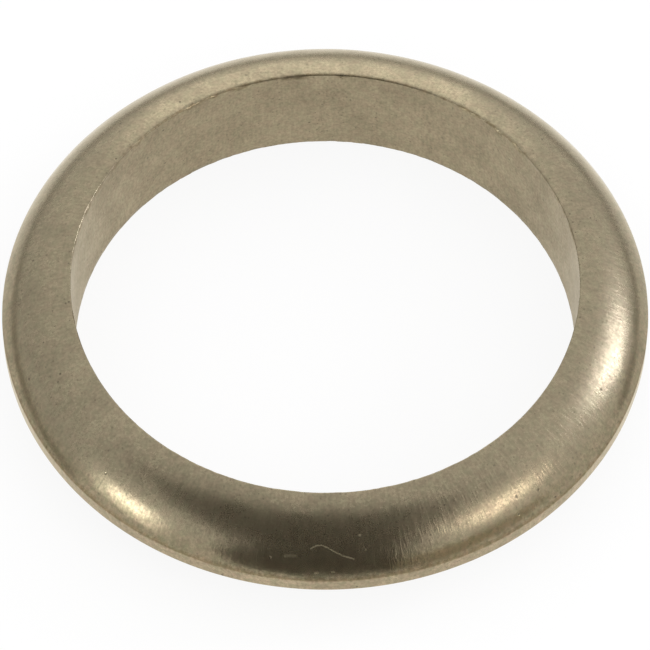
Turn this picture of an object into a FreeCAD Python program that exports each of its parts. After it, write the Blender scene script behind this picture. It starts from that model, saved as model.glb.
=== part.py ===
import FreeCAD, Part
import math
import os

# Sizes of the ring across and up, in mm
bore_diameter = 50.8
wall_width = 7.1
ring_height = 11.5

# Bevel that breaks each bore edge
bore_edge_break = 0.3

# Domed seats, the slope is the one at which a dome leaves the bore edge, in degrees
crest_slope = 10.0

# Straight land at the greatest diameter, where the two domes meet
land_height = 1.5
land_edge_break = 0.12

bore_r = bore_diameter / 2
outer_r = bore_r + wall_width
mid_z = ring_height / 2
land_top_z = mid_z + land_height / 2


def on_section(r, z):
    """Point of the ring's section, r out from the axis and z up from the floor."""
    return FreeCAD.Vector(r, 0, z)


def dome_start():
    """Point where the bore edge's bevel meets the dome."""
    return on_section(bore_r + bore_edge_break, ring_height)


def dome_foot():
    """Point where the dome meets the land's bevel."""
    return on_section(outer_r - land_edge_break, land_top_z)


def crest_normal():
    """Direction square to the dome at its start."""
    slope = math.radians(crest_slope)
    return on_section(math.sin(slope), math.cos(slope))


def dome_radius():
    """Radius of the one arc from the bore edge out to the land."""
    chord = dome_foot().sub(dome_start())
    return -chord.dot(chord) / (2 * chord.dot(crest_normal()))


def dome_crown():
    """Point half way along the dome's arc."""
    centre = dome_start().sub(crest_normal().multiply(dome_radius()))
    half_way = dome_start().add(dome_foot()).multiply(0.5)
    outward = half_way.sub(centre)
    outward.normalize()
    return centre.add(outward.multiply(dome_radius()))


def bore_wall():
    """Straight wall of the bore, from one bevel to the other."""
    bottom = on_section(bore_r, bore_edge_break)
    top = on_section(bore_r, ring_height - bore_edge_break)
    return Part.makeLine(bottom, top)


def bore_edge():
    """Bevel from the bore wall up to the dome."""
    wall_top = on_section(bore_r, ring_height - bore_edge_break)
    return Part.makeLine(wall_top, dome_start())


def dome():
    """Seat face that bears on the flared pipe end."""
    return Part.Arc(dome_start(), dome_crown(), dome_foot()).toShape()


def land_edge():
    """Bevel from the dome to the land."""
    land_top = on_section(outer_r, land_top_z - land_edge_break)
    return Part.makeLine(dome_foot(), land_top)


def land():
    """Straight band at the greatest diameter, across the middle of the height."""
    top = on_section(outer_r, land_top_z - land_edge_break)
    bottom = on_section(outer_r, ring_height - top.z)
    return Part.makeLine(top, bottom)


def below(edge):
    """The same edge on the lower half, the ring being alike both ways up."""
    return edge.mirror(on_section(0, mid_z), FreeCAD.Vector(0, 0, 1))


def ring_section():
    """Closed D-shaped section of the ring."""
    upper = [bore_edge(), dome(), land_edge()]
    lower = [below(edge) for edge in upper]
    edges = Part.__sortEdges__([bore_wall(), land()] + upper + lower)
    return Part.Face(Part.Wire(edges))


def gasket_ring():
    """The section turned once round the axis."""
    origin = FreeCAD.Vector(0, 0, 0)
    axis = FreeCAD.Vector(0, 0, 1)
    return ring_section().revolve(origin, axis, 360)


os.makedirs("parts", exist_ok=True)
gasket_ring().exportStep("parts/gasket_ring.step")
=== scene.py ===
import bpy
import math
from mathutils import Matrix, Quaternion, Vector, noise


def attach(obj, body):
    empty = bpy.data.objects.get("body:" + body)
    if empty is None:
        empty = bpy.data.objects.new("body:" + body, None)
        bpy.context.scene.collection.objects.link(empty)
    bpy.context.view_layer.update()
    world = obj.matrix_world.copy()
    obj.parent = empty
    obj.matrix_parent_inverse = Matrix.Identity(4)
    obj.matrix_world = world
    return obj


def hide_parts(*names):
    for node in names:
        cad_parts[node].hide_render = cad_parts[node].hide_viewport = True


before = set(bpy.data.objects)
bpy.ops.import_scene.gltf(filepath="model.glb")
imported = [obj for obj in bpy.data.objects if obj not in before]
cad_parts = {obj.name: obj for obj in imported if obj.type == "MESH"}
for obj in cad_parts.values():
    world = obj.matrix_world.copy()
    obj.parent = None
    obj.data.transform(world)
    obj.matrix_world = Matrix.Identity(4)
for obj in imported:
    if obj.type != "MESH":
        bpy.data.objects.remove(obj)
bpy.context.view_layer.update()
scene = bpy.context.scene
mm = 0.001
print("frame loaded")

# camera, fitted to the outline of the ring and of its hole
cameraSetup = {
    "distance": 482.74,     # mm from the middle of the ring's underside
    "elevation": 55.689,    # degrees above the horizon
    "roll": 0.18,           # degrees
    "lens": 262.65,         # mm
    "sensorWidth": 36,      # mm
    "shiftX": -0.0001,
    "shiftY": 0.0263,
    "clipStart": 0.01,      # metres
    "clipEnd": 20,
}


def makeCamera(setup):
    tilt = math.radians(90 - setup["elevation"])
    back = Vector((0, -math.sin(tilt), math.cos(tilt)))
    data = bpy.data.cameras.new("photoCamera")
    data.sensor_width = setup["sensorWidth"]
    data.lens = setup["lens"]
    data.shift_x = setup["shiftX"]
    data.shift_y = setup["shiftY"]
    data.clip_start = setup["clipStart"]
    data.clip_end = setup["clipEnd"]
    camera = bpy.data.objects.new("photoCamera", data)
    camera.location = back * setup["distance"] * mm
    camera.rotation_mode = "QUATERNION"
    lean = Quaternion((1, 0, 0), tilt)
    camera.rotation_quaternion = lean @ Quaternion((0, 0, 1), math.radians(setup["roll"]))
    scene.collection.objects.link(camera)
    scene.camera = camera


makeCamera(cameraSetup)
print("camera set")

# the ring's section in mm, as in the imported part, with its fine roundings
ring = {
    "boreRadius": 25.4,
    "wallWidth": 7.1,
    "height": 11.5,
    "boreEdgeRadius": 0.16,
    "crestSlope": 10.0,       # degrees, where the dome leaves the bore edge
    "landHeight": 1.5,
    "landEdgeRadius": 0.2,
    "stepsAround": 640,
    "wallSteps": 10,          # on half the bore wall
    "boreEdgeSteps": 5,
    "domeSteps": 52,
    "landEdgeSteps": 4,
}
# unevenness of the pressed metal, sizes in mm
uneven = {
    "domeWave": 0.035,        # height of the broad waves on the domes
    "domeWaveLength": 5.0,
    "lump": 0.008,            # height of the small lumps
    "lumpLength": 1.1,
    "wavesFadeIn": 4,         # steepness of the fade at the bore edge and at the land
    "wavesFadeOut": 5,
    "edgeBurr": 0.07,         # how far the bore edge wanders
    "edgeBurrLength": 1.3,
    "fineBurrShare": 0.5,     # fine burrs on top of the broad ones, and how many times finer
    "fineBurrTimes": 3,
    "deepestChip": -0.2,      # share of a burr that a chip goes the other way
    "rimWave": 0.015,         # how far the land wanders
    "rimWaveLength": 3.0,
    "wallWave": 0.00525,      # how far the bore wall wanders
    "wallWaveStretch": 0.3,   # waves on the wall run upright
}
# every kind of noise has a place of its own
seeds = {"burr": 11.3, "domeWave": 18.3, "lump": 14.3, "rim": 24.3, "wall": 28.3,
         "edgeGrimeAndShade": 38.3, "footDirtAndShade": 32.3, "wideFootDirtAndShade": 34.3}


def arcPoints(centre, radius, fromDegrees, toDegrees, steps):
    # points from one direction to another round a centre, without the first
    points = []
    for i in range(1, steps + 1):
        a = math.radians(fromDegrees + (toDegrees - fromDegrees) * i / steps)
        points.append((centre[0] + radius * math.cos(a), centre[1] + radius * math.sin(a)))
    return points


def upperProfile(r):
    # half section from the middle of the bore wall over the dome to the middle of the land
    # each point holds radius, height and the name of its stretch
    boreR, height, edge = r["boreRadius"], r["height"], r["boreEdgeRadius"]
    outerR = boreR + r["wallWidth"]
    midZ = height / 2
    slope = math.radians(r["crestSlope"])
    normal = (math.sin(slope), math.cos(slope))
    edgeCentre = (boreR + edge, height - edge)
    domeStart = (edgeCentre[0] + edge * normal[0], edgeCentre[1] + edge * normal[1])
    foot = (outerR, midZ + r["landHeight"] / 2)
    chord = (foot[0] - domeStart[0], foot[1] - domeStart[1])
    domeR = -(chord[0] ** 2 + chord[1] ** 2) / (2 * (chord[0] * normal[0] + chord[1] * normal[1]))
    domeCentre = (domeStart[0] - domeR * normal[0], domeStart[1] - domeR * normal[1])
    # rounding between the dome and the land, it touches both
    landEdge = r["landEdgeRadius"]
    level = math.sqrt((domeR - landEdge) ** 2 - (outerR - landEdge - domeCentre[0]) ** 2)
    landCentre = (outerR - landEdge, domeCentre[1] + level)
    footAngle = math.degrees(math.atan2(landCentre[1] - domeCentre[1], landCentre[0] - domeCentre[0]))
    points = []
    for i in range(r["wallSteps"] + 1):
        points.append((boreR, midZ + (height - edge - midZ) * i / r["wallSteps"], "wall"))
    for p in arcPoints(edgeCentre, edge, 180, 90 - r["crestSlope"], r["boreEdgeSteps"]):
        points.append((*p, "boreEdge"))
    for p in arcPoints(domeCentre, domeR, 90 - r["crestSlope"], footAngle, r["domeSteps"]):
        points.append((*p, "dome"))
    for p in arcPoints(landCentre, landEdge, footAngle, 0, r["landEdgeSteps"]):
        points.append((*p, "landEdge"))
    points.append((outerR, (points[-1][1] + midZ) / 2, "land"))
    points.append((outerR, midZ, "land"))
    return points


def fullProfile(r):
    upper = upperProfile(r)
    lower = [(p[0], r["height"] - p[1], p[2]) for p in reversed(upper[1:-1])]
    return upper + lower


def waves(x, y, z, length, seed):
    # smooth noise between -1 and 1, place and wave length in mm
    return noise.noise(Vector((x / length + seed, y / length, z / length)))


def unevenPoint(r, u, radius, height, stretch, angle):
    # one point of the section, moved as the pressed metal wanders
    x, y = radius * math.cos(angle), radius * math.sin(angle)
    side = 1 if height >= r["height"] / 2 else -1
    out = up = 0
    if stretch == "boreEdge":
        fineLength = u["edgeBurrLength"] / u["fineBurrTimes"]
        burr = waves(x, y, height, u["edgeBurrLength"], seeds["burr"])
        burr += u["fineBurrShare"] * waves(x, y, height, fineLength, seeds["burr"])
        out += u["edgeBurr"] * max(burr, u["deepestChip"])
        up -= side * u["edgeBurr"] * abs(burr)
    if stretch == "dome":
        lean = (radius - r["boreRadius"]) / r["wallWidth"]
        wave = u["domeWave"] * waves(x, y, height, u["domeWaveLength"], seeds["domeWave"])
        wave += u["lump"] * waves(x, y, height, u["lumpLength"], seeds["lump"])
        fade = min(1, u["wavesFadeIn"] * lean, u["wavesFadeOut"] * (1 - lean))
        out += wave * fade * lean
        up += side * (wave - u["domeWave"]) * fade * (1 - lean)
    if stretch in ("landEdge", "land"):
        out -= u["rimWave"] * abs(waves(x, y, 0, u["rimWaveLength"], seeds["rim"]))
    if stretch == "wall":
        upright = height * u["wallWaveStretch"]
        out += u["wallWave"] * waves(x, y, upright, u["domeWaveLength"], seeds["wall"])
    return radius + out, height + up


def nearness(angle, middle, spread):
    # 1 where the ring faces the middle angle, falling to 0 at the spread, both in degrees
    away = abs((math.degrees(angle) - middle + 180) % 360 - 180)
    return max(0.0, 1 - away / spread)


# where dirt and painted shade lie and where the metal is rubbed, angles in degrees, 270 is the front,
# lengths in mm
wear = {
    "ringRadius": 30,
    "edgeGrimeAndShade": {"middle": 90, "spread": 80, "gain": 1.8, "level": 0.75, "ragged": 0.7, "length": 1.1},
    "footDirtAndShade": {"middle": 262, "spread": 100, "gain": 1.6, "reach": 0.3, "moreReach": 0.75,
                 "level": 0.75, "ragged": 0.5, "length": 0.45, "wideRagged": 0.35, "wideLength": 1.7,
                 "least": 0.2, "below": 0.18},
    "rubbed": {"middle": 325, "spread": 85, "gain": 1.5},
}


def aroundShare(angle, w):
    # 1 near the middle of a worn or dirty stretch of the ring
    return min(1.0, w["gain"] * nearness(angle, w["middle"], w["spread"]))


def edgeGrimeAndShadeAt(angle):
    # dark grime along the bore edge together with painted shade there, most of all at the back
    w = wear["edgeGrimeAndShade"]
    x, y = wear["ringRadius"] * math.cos(angle), wear["ringRadius"] * math.sin(angle)
    ragged = w["level"] + w["ragged"] * waves(x, y, 0, w["length"], seeds["edgeGrimeAndShade"])
    return aroundShare(angle, w) * ragged


def dirtAndShadeAt(beyond, angle):
    # brown dirt and painted shade on the dome above the land, reaching farthest up near the front;
    # beyond is the way outward from the dome's foot in mm
    w = wear["footDirtAndShade"]
    x, y = wear["ringRadius"] * math.cos(angle), wear["ringRadius"] * math.sin(angle)
    ragged = w["level"] + w["ragged"] * waves(x, y, 0, w["length"], seeds["footDirtAndShade"])
    ragged += w["wideRagged"] * waves(x, y, 0, w["wideLength"], seeds["wideFootDirtAndShade"])
    reach = w["reach"] + w["moreReach"] * aroundShare(angle, w)
    if beyond < 0:
        return max(0.0, 1 + beyond / (reach * max(ragged, w["least"])))
    return max(0.0, 1 - beyond / w["below"])


def ringMesh(r, u):
    profile = fullProfile(r)
    around, count = r["stepsAround"], len(profile)
    # length along the section in mm, from the middle of the bore wall, alike above and below
    along = [0.0]
    for i in range(1, count):
        before, here = profile[i - 1], profile[i]
        along.append(along[-1] + math.hypot(here[0] - before[0], here[1] - before[1]))
    half = along[count // 2]
    vertices, masks = [], {"rim": [], "dirtAndShade": [], "worn": [], "wall": [], "along": []}
    edgeLength = along[[p[2] for p in profile].index("landEdge")]
    for i in range(around):
        angle = 2 * math.pi * i / around
        for j, (radius, height, stretch) in enumerate(profile):
            outward, level = unevenPoint(r, u, radius, height, stretch, angle)
            vertices.append((outward * math.cos(angle) * mm, outward * math.sin(angle) * mm, level * mm))
            fromBore = min(along[j], 2 * half - along[j])
            masks["along"].append(fromBore)
            masks["rim"].append(1.0 if stretch in ("landEdge", "land") else 0.0)
            masks["wall"].append(1.0 if stretch == "wall" else 0.0)
            beyond = fromBore - edgeLength
            # this mask holds dirt and also painted shade: at the dome's foot, widest at the front, and
            # along the bore edge at the back
            dirtAndShade = dirtAndShadeAt(beyond, angle) if height > r["height"] / 2 else 0.0
            masks["dirtAndShade"].append(edgeGrimeAndShadeAt(angle) if stretch == "boreEdge" else dirtAndShade)
            masks["worn"].append(aroundShare(angle, wear["rubbed"]))
    faces = []
    for i in range(around):
        here, there = i * count, (i + 1) % around * count
        for j in range(count):
            k = (j + 1) % count
            faces.append((here + j, there + j, there + k, here + k))
    mesh = bpy.data.meshes.new("gasketRing")
    mesh.from_pydata(vertices, [], faces)
    for name, values in masks.items():
        mask = mesh.attributes.new(name, "FLOAT", "POINT")
        mask.data.foreach_set("value", values)
    mesh.update()
    return mesh


def makeRing(r, u):
    mesh = ringMesh(r, u)
    piece = bpy.data.objects.new("gasketRing", mesh)
    scene.collection.objects.link(piece)
    for face in mesh.polygons:
        face.use_smooth = True
    return piece


# pressed and sintered metal, colours are linear, scales are features per mm, depths are in mm
metal = {
    "colour": (0.268, 0.228, 0.153),
    "rimColour": (0.370, 0.307, 0.210),
    "wallColour": (0.325, 0.272, 0.178),
    # brown of the dirt, which also serves as painted shade at the dome's foot and along the bore edge
    "dirtAndShadeColour": (0.190, 0.138, 0.070),
    "pitColour": (0.07, 0.058, 0.04),
    "markColour": (0.55, 0.49, 0.33),
    "tints": ((0.985, 1.005, 0.985), (1.02, 0.993, 0.995)),
    "filmColours": ((0.92, 0.94, 0.87), (1.09, 1.04, 1.01)),
    "metallic": 0.9,
    "edgeTint": (1.0, 0.96, 0.88),
    # how much each kind of unevenness lightens and darkens the colour
    "grainContrast": 0.12,
    "blotchContrast": 0.07,
    "streakContrast": 0.06,
    "lumpContrast": 0.04,
    "mottleContrast": 0.12,
    "dirtAndShadeShare": 0.5,
    "pitShare": 0.7,
    "finePitShare": 0.42,
    # painted sheen: a paler colour mixed in where the metal is seen at a low angle
    "paintedSheenColour": (0.66, 0.59, 0.42),
    "paintedSheenFrom": 0.6,
    "paintedSheenTo": 0.94,
    "paintedSheenShare": 0.62,
    "wallPaintedSheen": 0.25,          # of that share, on the bore wall
    # roughness, and what is added to it
    "roughness": 0.28,
    "roughnessSpread": 0.04,
    "crestRoughness": 0.02,
    "footRoughness": -0.09,
    "wallRoughness": 0.12,
    "rimRoughness": 0.1,
    "dirtRoughness": 0.12,
    "scratchRoughness": 0.3,
    "grainScale": 3.3,
    "grainDepth": 0.0019,
    "lumpScale": 1.2,
    "lumpDepth": 0.009,
    "tintScale": 1.08,
    "blotchScale": 0.26,
    "filmScale": 1.5,
    "dirtScale": 2.6,
    "wobbleScale": 9,          # ragged outlines of pits and scratches
    "wobble": 0.08,
    "pitScale": 0.62,
    "finePitScale": 1.922,
    "pitDepth": 0.018,
    "streakRadius": 29,
    "streakAcross": 3.2,
    "streakAlong": 0.6,
    "streakDepth": 0.004,
    "wornStreakDepth": 0.005,
}
# marks on the upper dome and the bore wall, places in mm
scratches = {
    "hookedScratch": {"width": 0.052, "strength": 0.62,
                      "points": ((-1.35, -30.40, 9.19), (-0.85, -30.20, 9.36), (-0.32, -30.14, 9.44),
                                 (0.20, -30.30, 9.30), (0.88, -30.58, 9.04), (1.75, -30.88, 8.70),
                                 (2.85, -31.07, 8.40))},
    "smear": {"width": 0.13, "strength": 0.22,
              "points": ((-3.81, -30.82, 8.57), (-2.75, -30.86, 8.65))},
    "footNick": {"width": 0.07, "strength": 0.35,
                 "points": ((-0.95, -32.02, 7.31), (-0.60, -32.02, 7.31))},
    "secondFootNick": {"width": 0.06, "strength": 0.3,
                       "points": ((0.70, -31.96, 7.40), (0.98, -31.96, 7.40))},
    "paleSpeck": {"width": 0.12, "strength": 0.6,
                  "points": ((3.39, -29.29, 9.94), (3.44, -29.29, 9.94))},
    "secondPaleSpeck": {"width": 0.08, "strength": 0.35,
                        "points": ((4.00, -30.37, 9.00), (4.06, -30.37, 9.00))},
}
# places on the dome are compared mostly as seen from above
domeScale = (1, 1, 0.25)
# dark pits: place and radius
darkPits = (
    ((-25.70, 1.62, 11.49), 0.10),
    ((-25.51, -3.09, 11.49), 0.12),
    ((-27.12, -3.86, 11.04), 0.09),
    ((-26.80, -5.70, 11.04), 0.08),
    ((-27.93, -7.17, 10.35), 0.11),
    ((18.71, -24.25, 9.00), 0.14),
    ((26.71, 7.91, 10.85), 0.12),
    ((27.31, 7.78, 10.59), 0.09),
    ((24.62, 7.90, 11.45), 0.13),
    ((24.90, 6.90, 11.45), 0.11),
    ((25.12, 5.60, 11.45), 0.10),
    ((2.54, 25.27, 7.45), 0.11),
    ((-1.73, 25.34, 3.50), 0.13),
    ((5.19, 24.86, 4.95), 0.10),
)


class Nodes:
    # short ways to add and join shader nodes
    def __init__(self, name):
        self.material = bpy.data.materials.new(name)
        self.material.use_nodes = True
        self.tree = self.material.node_tree
        self.shader = self.tree.nodes["Principled BSDF"]

    def add(self, kind, **settings):
        node = self.tree.nodes.new(kind)
        for key, value in settings.items():
            setattr(node, key, value)
        return node

    def join(self, source, target):
        self.tree.links.new(source, target)

    def put(self, socket, value):
        # a number or colour is set, an output is joined
        if isinstance(value, bpy.types.NodeSocket):
            self.join(value, socket)
        elif hasattr(value, "__len__") and len(value) == 3 and socket.type == "RGBA":
            socket.default_value = (*value, 1)
        else:
            socket.default_value = value

    def attribute(self, name):
        node = self.add("ShaderNodeAttribute", attribute_name=name)
        return node.outputs["Fac"]

    def sums(self, operation, first, second=0.0, third=None, clamp=False):
        node = self.add("ShaderNodeMath", operation=operation, use_clamp=clamp)
        self.put(node.inputs[0], first)
        self.put(node.inputs[1], second)
        if third is not None:
            self.put(node.inputs[2], third)
        return node.outputs[0]

    def vectors(self, operation, first, second=(0, 0, 0), output="Vector"):
        node = self.add("ShaderNodeVectorMath", operation=operation)
        self.put(node.inputs[0], first)
        if operation == "SCALE":
            self.put(node.inputs["Scale"], second)
        else:
            self.put(node.inputs[1], second)
        return node.outputs[output]

    def noise(self, vector, scale, detail=3.0, roughness=0.5):
        node = self.add("ShaderNodeTexNoise")
        self.put(node.inputs["Vector"], vector)
        self.put(node.inputs["Scale"], scale)
        self.put(node.inputs["Detail"], detail)
        self.put(node.inputs["Roughness"], roughness)
        return node.outputs["Fac"]

    def cells(self, vector, scale):
        # distance to the nearest cell point and the cell's own random colour
        node = self.add("ShaderNodeTexVoronoi")
        self.put(node.inputs["Vector"], vector)
        self.put(node.inputs["Scale"], scale)
        return node.outputs["Distance"], node.outputs["Color"]

    def ramp(self, value, low, high, toLow=0.0, toHigh=1.0):
        node = self.add("ShaderNodeMapRange", interpolation_type="SMOOTHSTEP")
        for socket, number in zip(node.inputs, (value, low, high, toLow, toHigh)):
            self.put(socket, number)
        return node.outputs[0]

    def around(self, value, low, high, contrast):
        # from a little under 1 to as much over it
        return self.ramp(value, low, high, 1 - contrast, 1 + contrast)

    def nearLine(self, place, start, end):
        # distance in mm from a straight line between two points
        run = Vector(end) - Vector(start)
        offset = self.vectors("SUBTRACT", place, tuple(start))
        share = self.sums("MULTIPLY", self.vectors("DOT_PRODUCT", offset, tuple(run), "Value"),
                          1 / run.length_squared, clamp=True)
        step = self.vectors("SCALE", tuple(run), share)
        return self.vectors("LENGTH", self.vectors("SUBTRACT", offset, step), output="Value")

    def mix(self, factor, first, second, blend="MIX"):
        node = self.add("ShaderNodeMix", data_type="RGBA", blend_type=blend)
        self.put(node.inputs[0], factor)
        self.put(node.inputs[6], first)
        self.put(node.inputs[7], second)
        return node.outputs[2]

    def bump(self, height, depth, before=None):
        node = self.add("ShaderNodeBump")
        node.inputs["Distance"].default_value = depth * mm
        self.join(height, node.inputs["Height"])
        if before is not None:
            self.join(before, node.inputs["Normal"])
        return node.outputs["Normal"]


def flattened(point):
    return tuple(a * b for a, b in zip(point, domeScale))


def scratchMask(n, place, wobble):
    # light scratches and nicks, 1 in their middle
    mask = 0.0
    domePlace = n.vectors("MULTIPLY", place, domeScale)
    for mark in scratches.values():
        points = [flattened(point) for point in mark["points"]]
        for start, end in zip(points, points[1:]):
            away = n.sums("ADD", n.nearLine(domePlace, start, end), wobble)
            line = n.ramp(away, 0.3 * mark["width"], 1.4 * mark["width"], mark["strength"], 0)
            mask = n.sums("MAXIMUM", mask, line)
    return mask


def darkPitMask(n, place, wobble):
    # single dark pits, 1 in their middle
    mask = 0.0
    domePlace = n.vectors("MULTIPLY", place, domeScale)
    for spot, radius in darkPits:
        onWall = math.hypot(spot[0], spot[1]) < ring["boreRadius"] + 0.1
        if onWall:
            away = n.vectors("DISTANCE", place, spot, "Value")
        else:
            away = n.vectors("DISTANCE", domePlace, flattened(spot), "Value")
        away = n.sums("ADD", away, wobble)
        mask = n.sums("MAXIMUM", mask, n.ramp(away, 0.3 * radius, 1.3 * radius, 1, 0))
    return mask


def sinteredMetal(m):
    n = Nodes("sinteredMetal")
    place = n.vectors("SCALE", n.add("ShaderNodeTexCoord").outputs["Object"], 1 / mm)
    names = ("rim", "dirtAndShade", "wall", "worn", "along")
    rim, dirtAndShadeMask, wall, worn, along = (n.attribute(name) for name in names)
    # coordinates that run round the ring and along its section
    flat = n.vectors("MULTIPLY", place, (1, 1, 0))
    roundRing = n.vectors("SCALE", n.vectors("NORMALIZE", flat), m["streakRadius"] * m["streakAcross"])
    alongAxis = n.add("ShaderNodeCombineXYZ")
    n.join(n.sums("MULTIPLY", along, m["streakAlong"]), alongAxis.inputs["Z"])
    streakPlace = n.vectors("ADD", roundRing, alongAxis.outputs[0])

    grain = n.noise(place, m["grainScale"], 1.5, 0.6)
    lumps = n.noise(place, m["lumpScale"], 3, 0.55)
    blotch = n.noise(place, m["blotchScale"], 4, 0.6)
    tint = n.noise(place, m["tintScale"], 2, 0.5)
    film = n.noise(place, m["filmScale"], 3, 0.6)
    streaks = n.noise(streakPlace, 1.0, 3, 0.6)
    sharpStreaks = n.ramp(streaks, 0.42, 0.72)

    # pits in some of the cells only, and the single ones
    distance, chance = n.cells(place, m["pitScale"])
    some = n.ramp(n.vectors("DOT_PRODUCT", chance, (1, 0, 0), "Value"), 0.62, 0.7)
    pits = n.sums("MULTIPLY", n.ramp(distance, 0.04, 0.11, 1, 0), some)
    fineDistance, fineChance = n.cells(place, m["finePitScale"])
    fineSome = n.ramp(n.vectors("DOT_PRODUCT", fineChance, (0, 1, 0), "Value"), 0.6, 0.7)
    finePits = n.sums("MULTIPLY", n.ramp(fineDistance, 0.08, 0.26, 1, 0), fineSome)
    wobble = n.sums("SUBTRACT", n.noise(place, m["wobbleScale"], 2), 0.5)
    wobble = n.sums("MULTIPLY", wobble, m["wobble"])
    pits = n.sums("MAXIMUM", pits, darkPitMask(n, place, wobble))
    scratched = scratchMask(n, place, wobble)

    # colour, from the broad parts down to the grain
    onWall = n.ramp(wall, 0.3, 0.7)
    colour = n.mix(onWall, m["colour"], m["wallColour"])
    colour = n.mix(n.ramp(rim, 0.2, 0.8), colour, m["rimColour"])
    ragged = n.sums("MULTIPLY", n.sums("SUBTRACT", n.noise(place, m["dirtScale"], 3, 0.6), 0.5), 1.1)
    # dirt colour mixed in, which is also painted shade at the dome's foot and along the bore edge
    dirtAndShade = n.ramp(n.sums("ADD", dirtAndShadeMask, ragged), 0.25, 0.95)
    colour = n.mix(n.sums("MULTIPLY", dirtAndShade, m["dirtAndShadeShare"]), colour, m["dirtAndShadeColour"])
    light = n.around(grain, 0.25, 0.75, m["grainContrast"])
    light = n.sums("MULTIPLY", light, n.around(blotch, 0.3, 0.7, m["blotchContrast"]))
    light = n.sums("MULTIPLY", light, n.around(streaks, 0.3, 0.7, m["streakContrast"]))
    light = n.sums("MULTIPLY", light, n.around(lumps, 0.3, 0.7, m["lumpContrast"]))
    # mottled, most of all near the land
    mottle = n.sums("MULTIPLY", ragged, n.ramp(along, 12, 14.2, 0.25, 1))
    light = n.sums("MULTIPLY", light, n.around(mottle, -0.3, 0.3, -m["mottleContrast"]))
    tintColour = n.mix(n.ramp(tint, 0.35, 0.65), *m["tints"])
    colour = n.mix(1.0, colour, tintColour, "MULTIPLY")
    shade = n.add("ShaderNodeCombineColor")
    for channel in ("Red", "Green", "Blue"):
        n.join(light, shade.inputs[channel])
    colour = n.mix(1.0, colour, shade.outputs[0], "MULTIPLY")
    colour = n.mix(n.sums("MULTIPLY", finePits, m["finePitShare"]), colour, m["pitColour"])
    colour = n.mix(n.sums("MULTIPLY", pits, m["pitShare"]), colour, m["pitColour"])
    colour = n.mix(scratched, colour, m["markColour"])
    # painted sheen: Layer Weight's Facing mixes a paler colour into the base colour where the metal is
    # seen at a low angle, less on the bore wall
    facing = n.add("ShaderNodeLayerWeight").outputs["Facing"]
    paintedSheen = n.ramp(facing, m["paintedSheenFrom"], m["paintedSheenTo"], 0, m["paintedSheenShare"])
    paintedSheen = n.sums("MULTIPLY", paintedSheen, n.ramp(wall, 0.3, 0.7, 1, m["wallPaintedSheen"]))
    colour = n.mix(paintedSheen, colour, m["paintedSheenColour"])
    # thin film, strongest near the land
    filmColour = n.mix(n.ramp(film, 0.36, 0.64), *m["filmColours"])
    colour = n.mix(n.ramp(along, 11.5, 14, 0.15, 1), colour, filmColour, "MULTIPLY")
    n.join(colour, n.shader.inputs["Base Color"])

    # gloss
    spread = m["roughnessSpread"]
    rough = n.ramp(grain, 0.2, 0.8, m["roughness"] + spread, m["roughness"] - spread)
    rough = n.sums("ADD", rough, n.ramp(blotch, 0.3, 0.7, spread, -spread))
    rough = n.sums("ADD", rough, n.ramp(along, 9, 14, m["crestRoughness"], m["footRoughness"]))
    for mask, extra in ((wall, "wallRoughness"), (rim, "rimRoughness"),
                        (dirtAndShade, "dirtRoughness"), (scratched, "scratchRoughness")):
        rough = n.sums("ADD", rough, n.sums("MULTIPLY", mask, m[extra]))
    n.join(rough, n.shader.inputs["Roughness"])
    n.shader.inputs["Metallic"].default_value = m["metallic"]
    n.shader.inputs["Specular Tint"].default_value = (*m["edgeTint"], 1)

    # relief
    relief = n.bump(lumps, m["lumpDepth"])
    relief = n.bump(streaks, m["streakDepth"], relief)
    relief = n.bump(n.sums("MULTIPLY", sharpStreaks, worn), m["wornStreakDepth"], relief)
    relief = n.bump(grain, m["grainDepth"], relief)
    relief = n.bump(n.sums("SUBTRACT", 1.0, pits), m["pitDepth"], relief)
    n.join(relief, n.shader.inputs["Normal"])
    return n.material


gasket = makeRing(ring, uneven)
gasket.data.materials.append(sinteredMetal(metal))
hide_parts("gasket_ring")
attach(gasket, "root")
print("ring made,", len(gasket.data.polygons), "faces")

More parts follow.
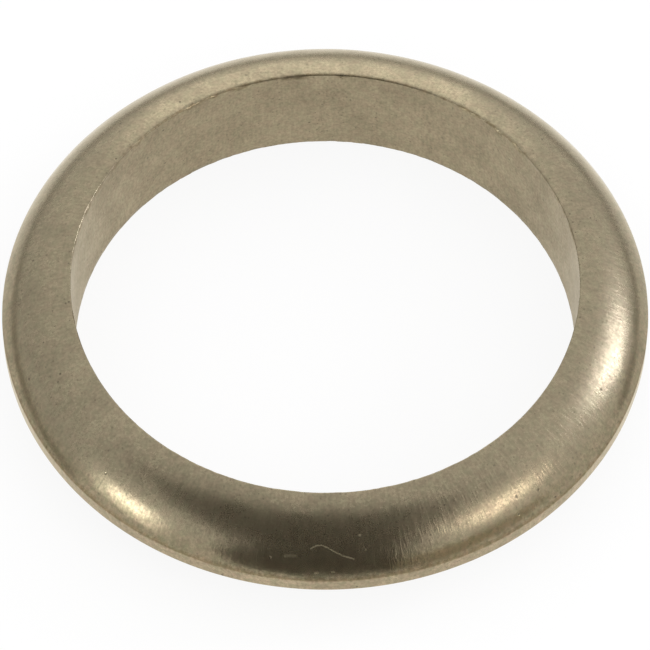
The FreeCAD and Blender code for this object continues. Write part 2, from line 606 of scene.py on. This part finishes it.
# pale floor, soft lamps, and cards that only the metal mirrors
studio = {
    "floorSize": 4.0,                     # metres
    "floorColour": (0.9, 0.9, 0.9, 1),
    "floorGlow": 0.88,                    # share of the floor that shows as plain white
    "worldStrength": 1.05,
    "worldLowLeft": 0.78,                 # of that strength, low on the left
    "worldRamps": (("X", -0.95, -0.45), ("Z", 0.6, 0.8)),
    # cards: distance in metres, colour, and corners as azimuth and elevation in degrees
    "cards": {
        "blackCard": {"distance": 0.9, "colour": (0.03, 0.024, 0.014),
                      "corners": ((-24, 5), (22, 3), (26, 28), (37, 42), (58, 53), (60, 70),
                                  (-6, 80), (-72, 72), (-79, 53), (-57, 44), (-27, 34), (-31, 16))},
        "brownCard": {"distance": 0.8, "colour": (0.43, 0.38, 0.30),
                      "corners": ((22, 2), (66, 2), (64, 11), (22, 16))},
    },
    # low dark strip round the back and the sides, sizes in mm, from and to in degrees of azimuth
    "strip": {"radius": 70, "height": 7.0, "colour": (0.32, 0.31, 0.28),
              "from": 84, "to": 296, "steps": 90},
    # lamps: azimuth from the camera's side, plus to the right, elevation, distance, size, radiance
    "lamps": {
        "leftLamp": {"azimuth": -59, "elevation": 14.5, "distance": 1.0,
                     "width": 0.38, "height": 0.32, "radiance": 1.65},
        "leftCore": {"azimuth": -59, "elevation": 18.5, "distance": 0.95,
                     "width": 0.17, "height": 0.19, "radiance": 5.5},
        "rightLamp": {"azimuth": 56, "elevation": 30.5, "distance": 1.0,
                      "width": 0.32, "height": 0.2, "radiance": 5.2, "colour": (1.0, 0.91, 0.87)},
        "farRightLamp": {"azimuth": 110, "elevation": 21, "distance": 1.0,
                         "width": 0.30, "height": 0.37, "radiance": 7.0, "colour": (1.0, 1.02, 1.18)},
        "backLamp": {"azimuth": 181, "elevation": 20, "distance": 1.0,
                     "width": 0.70, "height": 0.54, "radiance": 1.07, "colour": (1.0, 0.98, 0.93)},
    },
}


def directionFrom(azimuth, elevation):
    # unit direction, azimuth 0 is the camera's side and plus is to the right
    a, e = math.radians(azimuth), math.radians(elevation)
    return Vector((math.sin(a) * math.cos(e), -math.cos(a) * math.cos(e), math.sin(e)))


def makeFloor(s):
    half = s["floorSize"] / 2
    mesh = bpy.data.meshes.new("floor")
    mesh.from_pydata([(-half, -half, 0), (half, -half, 0), (half, half, 0), (-half, half, 0)],
                     [], [(0, 1, 2, 3)])
    floor = bpy.data.objects.new("floor", mesh)
    scene.collection.objects.link(floor)
    material = bpy.data.materials.new("paleFloor")
    material.use_nodes = True
    nodes, links = material.node_tree.nodes, material.node_tree.links
    nodes.clear()
    diffuse = nodes.new("ShaderNodeBsdfDiffuse")
    diffuse.inputs["Color"].default_value = s["floorColour"]
    glow = nodes.new("ShaderNodeEmission")
    glow.inputs["Strength"].default_value = 1.0
    path = nodes.new("ShaderNodeLightPath")
    cameraOrGlossy = nodes.new("ShaderNodeMath")
    cameraOrGlossy.operation = "MAXIMUM"
    links.new(path.outputs["Is Camera Ray"], cameraOrGlossy.inputs[0])
    links.new(path.outputs["Is Glossy Ray"], cameraOrGlossy.inputs[1])
    seen = nodes.new("ShaderNodeMath")
    seen.operation = "MAXIMUM"
    links.new(cameraOrGlossy.outputs[0], seen.inputs[0])
    links.new(path.outputs["Is Transmission Ray"], seen.inputs[1])
    share = nodes.new("ShaderNodeMath")
    share.operation = "MULTIPLY"
    share.inputs[1].default_value = s["floorGlow"]
    links.new(seen.outputs[0], share.inputs[0])
    both = nodes.new("ShaderNodeMixShader")
    links.new(share.outputs[0], both.inputs[0])
    links.new(diffuse.outputs[0], both.inputs[1])
    links.new(glow.outputs[0], both.inputs[2])
    output = nodes.new("ShaderNodeOutputMaterial")
    links.new(both.outputs[0], output.inputs["Surface"])
    mesh.materials.append(material)


def mirrorOnly(name, corners, faces, colour):
    # a matte surface that the camera doesn't see and that casts no shadow
    mesh = bpy.data.meshes.new(name)
    mesh.from_pydata(corners, [], faces)
    card = bpy.data.objects.new(name, mesh)
    scene.collection.objects.link(card)
    card.visible_camera = False
    card.visible_diffuse = False
    card.visible_shadow = False
    material = bpy.data.materials.new(name)
    material.use_nodes = True
    shader = material.node_tree.nodes["Principled BSDF"]
    shader.inputs["Base Color"].default_value = (*colour, 1)
    shader.inputs["Roughness"].default_value = 1
    shader.inputs["Specular IOR Level"].default_value = 0
    mesh.materials.append(material)


def makeCard(name, c):
    # flat card whose corners lie in given directions from the ring
    rays = [directionFrom(azimuth, elevation) for azimuth, elevation in c["corners"]]
    middle = sum(rays, Vector()).normalized()
    corners = [tuple(ray * (c["distance"] / ray.dot(middle))) for ray in rays]
    mirrorOnly(name, corners, [tuple(range(len(corners)))], c["colour"])


def makeStrip(s):
    # low upright strip, dark as the far end of a table
    steps, corners = s["steps"], []
    for i in range(steps + 1):
        out = directionFrom(s["from"] + (s["to"] - s["from"]) * i / steps, 0) * s["radius"] * mm
        corners += [(out.x, out.y, 0), (out.x, out.y, s["height"] * mm)]
    faces = [(2 * i, 2 * i + 2, 2 * i + 3, 2 * i + 1) for i in range(steps)]
    mirrorOnly("darkStrip", corners, faces, s["colour"])


def makeLamp(name, lamp):
    data = bpy.data.lights.new(name, "AREA")
    data.shape = "RECTANGLE"
    data.size = lamp["width"]
    data.size_y = lamp["height"]
    data.energy = lamp["radiance"] * math.pi * lamp["width"] * lamp["height"]
    data.color = lamp.get("colour", (1, 1, 1))
    light = bpy.data.objects.new(name, data)
    toward = directionFrom(lamp["azimuth"], lamp["elevation"])
    light.location = toward * lamp["distance"]
    light.rotation_mode = "QUATERNION"
    light.rotation_quaternion = toward.to_track_quat("Z", "Y")
    scene.collection.objects.link(light)


def makeWorld(s):
    # even light, a little weaker low on the left
    world = bpy.data.worlds.new("studioWorld")
    world.use_nodes = True
    nodes, links = world.node_tree.nodes, world.node_tree.links
    background = nodes["Background"]
    background.inputs["Color"].default_value = (1, 1, 1, 1)
    split = nodes.new("ShaderNodeSeparateXYZ")
    links.new(nodes.new("ShaderNodeTexCoord").outputs["Generated"], split.inputs[0])
    ramps = []
    for axis, low, high in s["worldRamps"]:
        ramp = nodes.new("ShaderNodeMapRange")
        ramp.interpolation_type = "SMOOTHSTEP"
        links.new(split.outputs[axis], ramp.inputs["Value"])
        ramp.inputs["From Min"].default_value = low
        ramp.inputs["From Max"].default_value = high
        ramps.append(ramp.outputs[0])
    brighter = nodes.new("ShaderNodeMath")
    brighter.operation = "MAXIMUM"
    links.new(ramps[0], brighter.inputs[0])
    links.new(ramps[1], brighter.inputs[1])
    strength = nodes.new("ShaderNodeMapRange")
    links.new(brighter.outputs[0], strength.inputs["Value"])
    strength.inputs["To Min"].default_value = s["worldStrength"] * s["worldLowLeft"]
    strength.inputs["To Max"].default_value = s["worldStrength"]
    links.new(strength.outputs[0], background.inputs["Strength"])
    scene.world = world


makeFloor(studio)
for cardName, card in studio["cards"].items():
    makeCard(cardName, card)
makeStrip(studio["strip"])
for lampName, lampSetup in studio["lamps"].items():
    makeLamp(lampName, lampSetup)
makeWorld(studio)
scene.view_settings.view_transform = "Standard"
print("studio lit")
